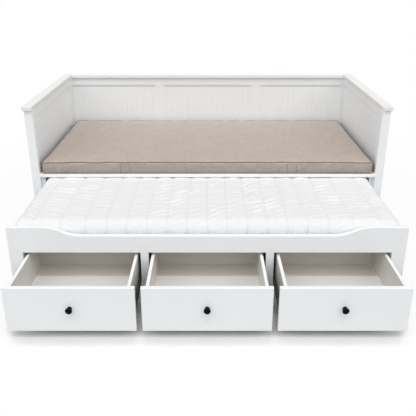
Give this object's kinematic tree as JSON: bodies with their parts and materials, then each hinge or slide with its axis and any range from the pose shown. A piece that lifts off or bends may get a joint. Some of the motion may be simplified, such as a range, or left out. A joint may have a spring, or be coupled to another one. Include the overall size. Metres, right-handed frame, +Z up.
{
  "type": "daybed with storage drawers",
  "caption": "White daybed with grooved back and ends, a pull-out bed on castors, drawers below it with round black knobs, and two mattresses.",
  "frame": {"origin": "on the floor, under the centre of the bounding box with the pull-out and drawers open as in the picture", "axes": "+Z up, -Y to the front where the bed and drawers pull out, +X to the right seen from the front"},
  "size_m": [2.02, 2.0014, 0.833],
  "materials": {
    "white_paint": "satin white paint on solid wood and board",
    "white_board": "white foil on board",
    "drawer_bottom": "pale lacquered hardboard",
    "bare_slats": "bare pine",
    "beige_canvas": "woven grey-beige cover",
    "white_quilting": "white quilted cover",
    "black_knob": "black, half gloss",
    "steel": "grey-white powder coat",
    "wheel_plastic": "dark nylon",
    "glide_plastic": "white nylon"
  },
  "bodies": {
    "frame": {"back_bottom_rail": "white_paint", "back_panels": "white_paint", "back_stiles": "white_paint", "back_top_rail": "white_paint", "bead_mouldings": "white_paint", "cap_back": "white_paint", "cap_left": "white_paint", "cap_right": "white_paint", "deck_slats": "bare_slats", "end_bottom_rail_left": "white_paint", "end_bottom_rail_right": "white_paint", "end_panel_left": "white_paint", "end_panel_right": "white_paint", "end_top_rail_left": "white_paint", "end_top_rail_right": "white_paint", "foot_glides": "glide_plastic", "frame_bolts": "steel", "front_rail": "white_paint", "guide_battens": "white_paint", "post_front_left": "white_paint", "post_front_right": "white_paint", "post_rear_left": "white_paint", "post_rear_right": "white_paint", "rear_ledger": "white_board", "upper_mattress": "beige_canvas"},
    "pull_out": {"wave_rail": "white_paint", "end_stiles": "white_paint", "mid_stiles": "white_paint", "bottom_rail": "white_paint", "chest_side_left": "white_board", "chest_side_right": "white_board", "chest_dividers": "white_board", "chest_back": "white_board", "tray_slats": "bare_slats", "runner_battens": "white_board", "cabinet_runners": "steel", "castor_brackets": "steel", "lower_mattress": "white_quilting"},
    "drawer_left": {"drawer_left_back": "white_paint", "drawer_left_bottom": "drawer_bottom", "drawer_left_front": "white_paint", "drawer_left_glides": "glide_plastic", "drawer_left_knob": "black_knob", "drawer_left_sides": "white_paint"},
    "drawer_centre": {"drawer_centre_back": "white_paint", "drawer_centre_bottom": "drawer_bottom", "drawer_centre_front": "white_paint", "drawer_centre_glides": "glide_plastic", "drawer_centre_knob": "black_knob", "drawer_centre_sides": "white_paint"},
    "drawer_right": {"drawer_right_back": "white_paint", "drawer_right_bottom": "drawer_bottom", "drawer_right_front": "white_paint", "drawer_right_glides": "glide_plastic", "drawer_right_knob": "black_knob", "drawer_right_sides": "white_paint"},
    "castor_wheel_front_left": {"castor_wheel_front_left": "wheel_plastic"},
    "castor_wheel_front_right": {"castor_wheel_front_right": "wheel_plastic"},
    "castor_wheel_rear_left": {"castor_wheel_rear_left": "wheel_plastic"},
    "castor_wheel_rear_right": {"castor_wheel_rear_right": "wheel_plastic"}
  },
  "joints": [
    {"name": "pull_out_slide", "type": "slide", "parent": "frame", "child": "pull_out", "axis": [0, -1, 0], "range_m": [-0.629, 0.25]},
    {"name": "drawer_left_slide", "type": "slide", "parent": "pull_out", "child": "drawer_left", "axis": [0, -1, 0], "range_m": [-0.284, 0.06]},
    {"name": "drawer_centre_slide", "type": "slide", "parent": "pull_out", "child": "drawer_centre", "axis": [0, -1, 0], "range_m": [-0.284, 0.06]},
    {"name": "drawer_right_slide", "type": "slide", "parent": "pull_out", "child": "drawer_right", "axis": [0, -1, 0], "range_m": [-0.284, 0.06]},
    {"name": "castor_wheel_front_left_spin", "type": "hinge", "parent": "pull_out", "child": "castor_wheel_front_left", "pos_m": [-0.8965, -0.58425, 0.025], "axis": [1, 0, 0], "continuous": true},
    {"name": "castor_wheel_front_right_spin", "type": "hinge", "parent": "pull_out", "child": "castor_wheel_front_right", "pos_m": [0.8965, -0.58425, 0.025], "axis": [1, 0, 0], "continuous": true},
    {"name": "castor_wheel_rear_left_spin", "type": "hinge", "parent": "pull_out", "child": "castor_wheel_rear_left", "pos_m": [-0.8965, 0.21375, 0.025], "axis": [1, 0, 0], "continuous": true},
    {"name": "castor_wheel_rear_right_spin", "type": "hinge", "parent": "pull_out", "child": "castor_wheel_rear_right", "pos_m": [0.8965, 0.21375, 0.025], "axis": [1, 0, 0], "continuous": true}
  ],
  "couplings": [
    {"joint": "castor_wheel_front_left_spin", "follows": "pull_out_slide", "rad_per_m": 40},
    {"joint": "castor_wheel_front_right_spin", "follows": "pull_out_slide", "rad_per_m": 40},
    {"joint": "castor_wheel_rear_left_spin", "follows": "pull_out_slide", "rad_per_m": 40},
    {"joint": "castor_wheel_rear_right_spin", "follows": "pull_out_slide", "rad_per_m": 40}
  ]
}
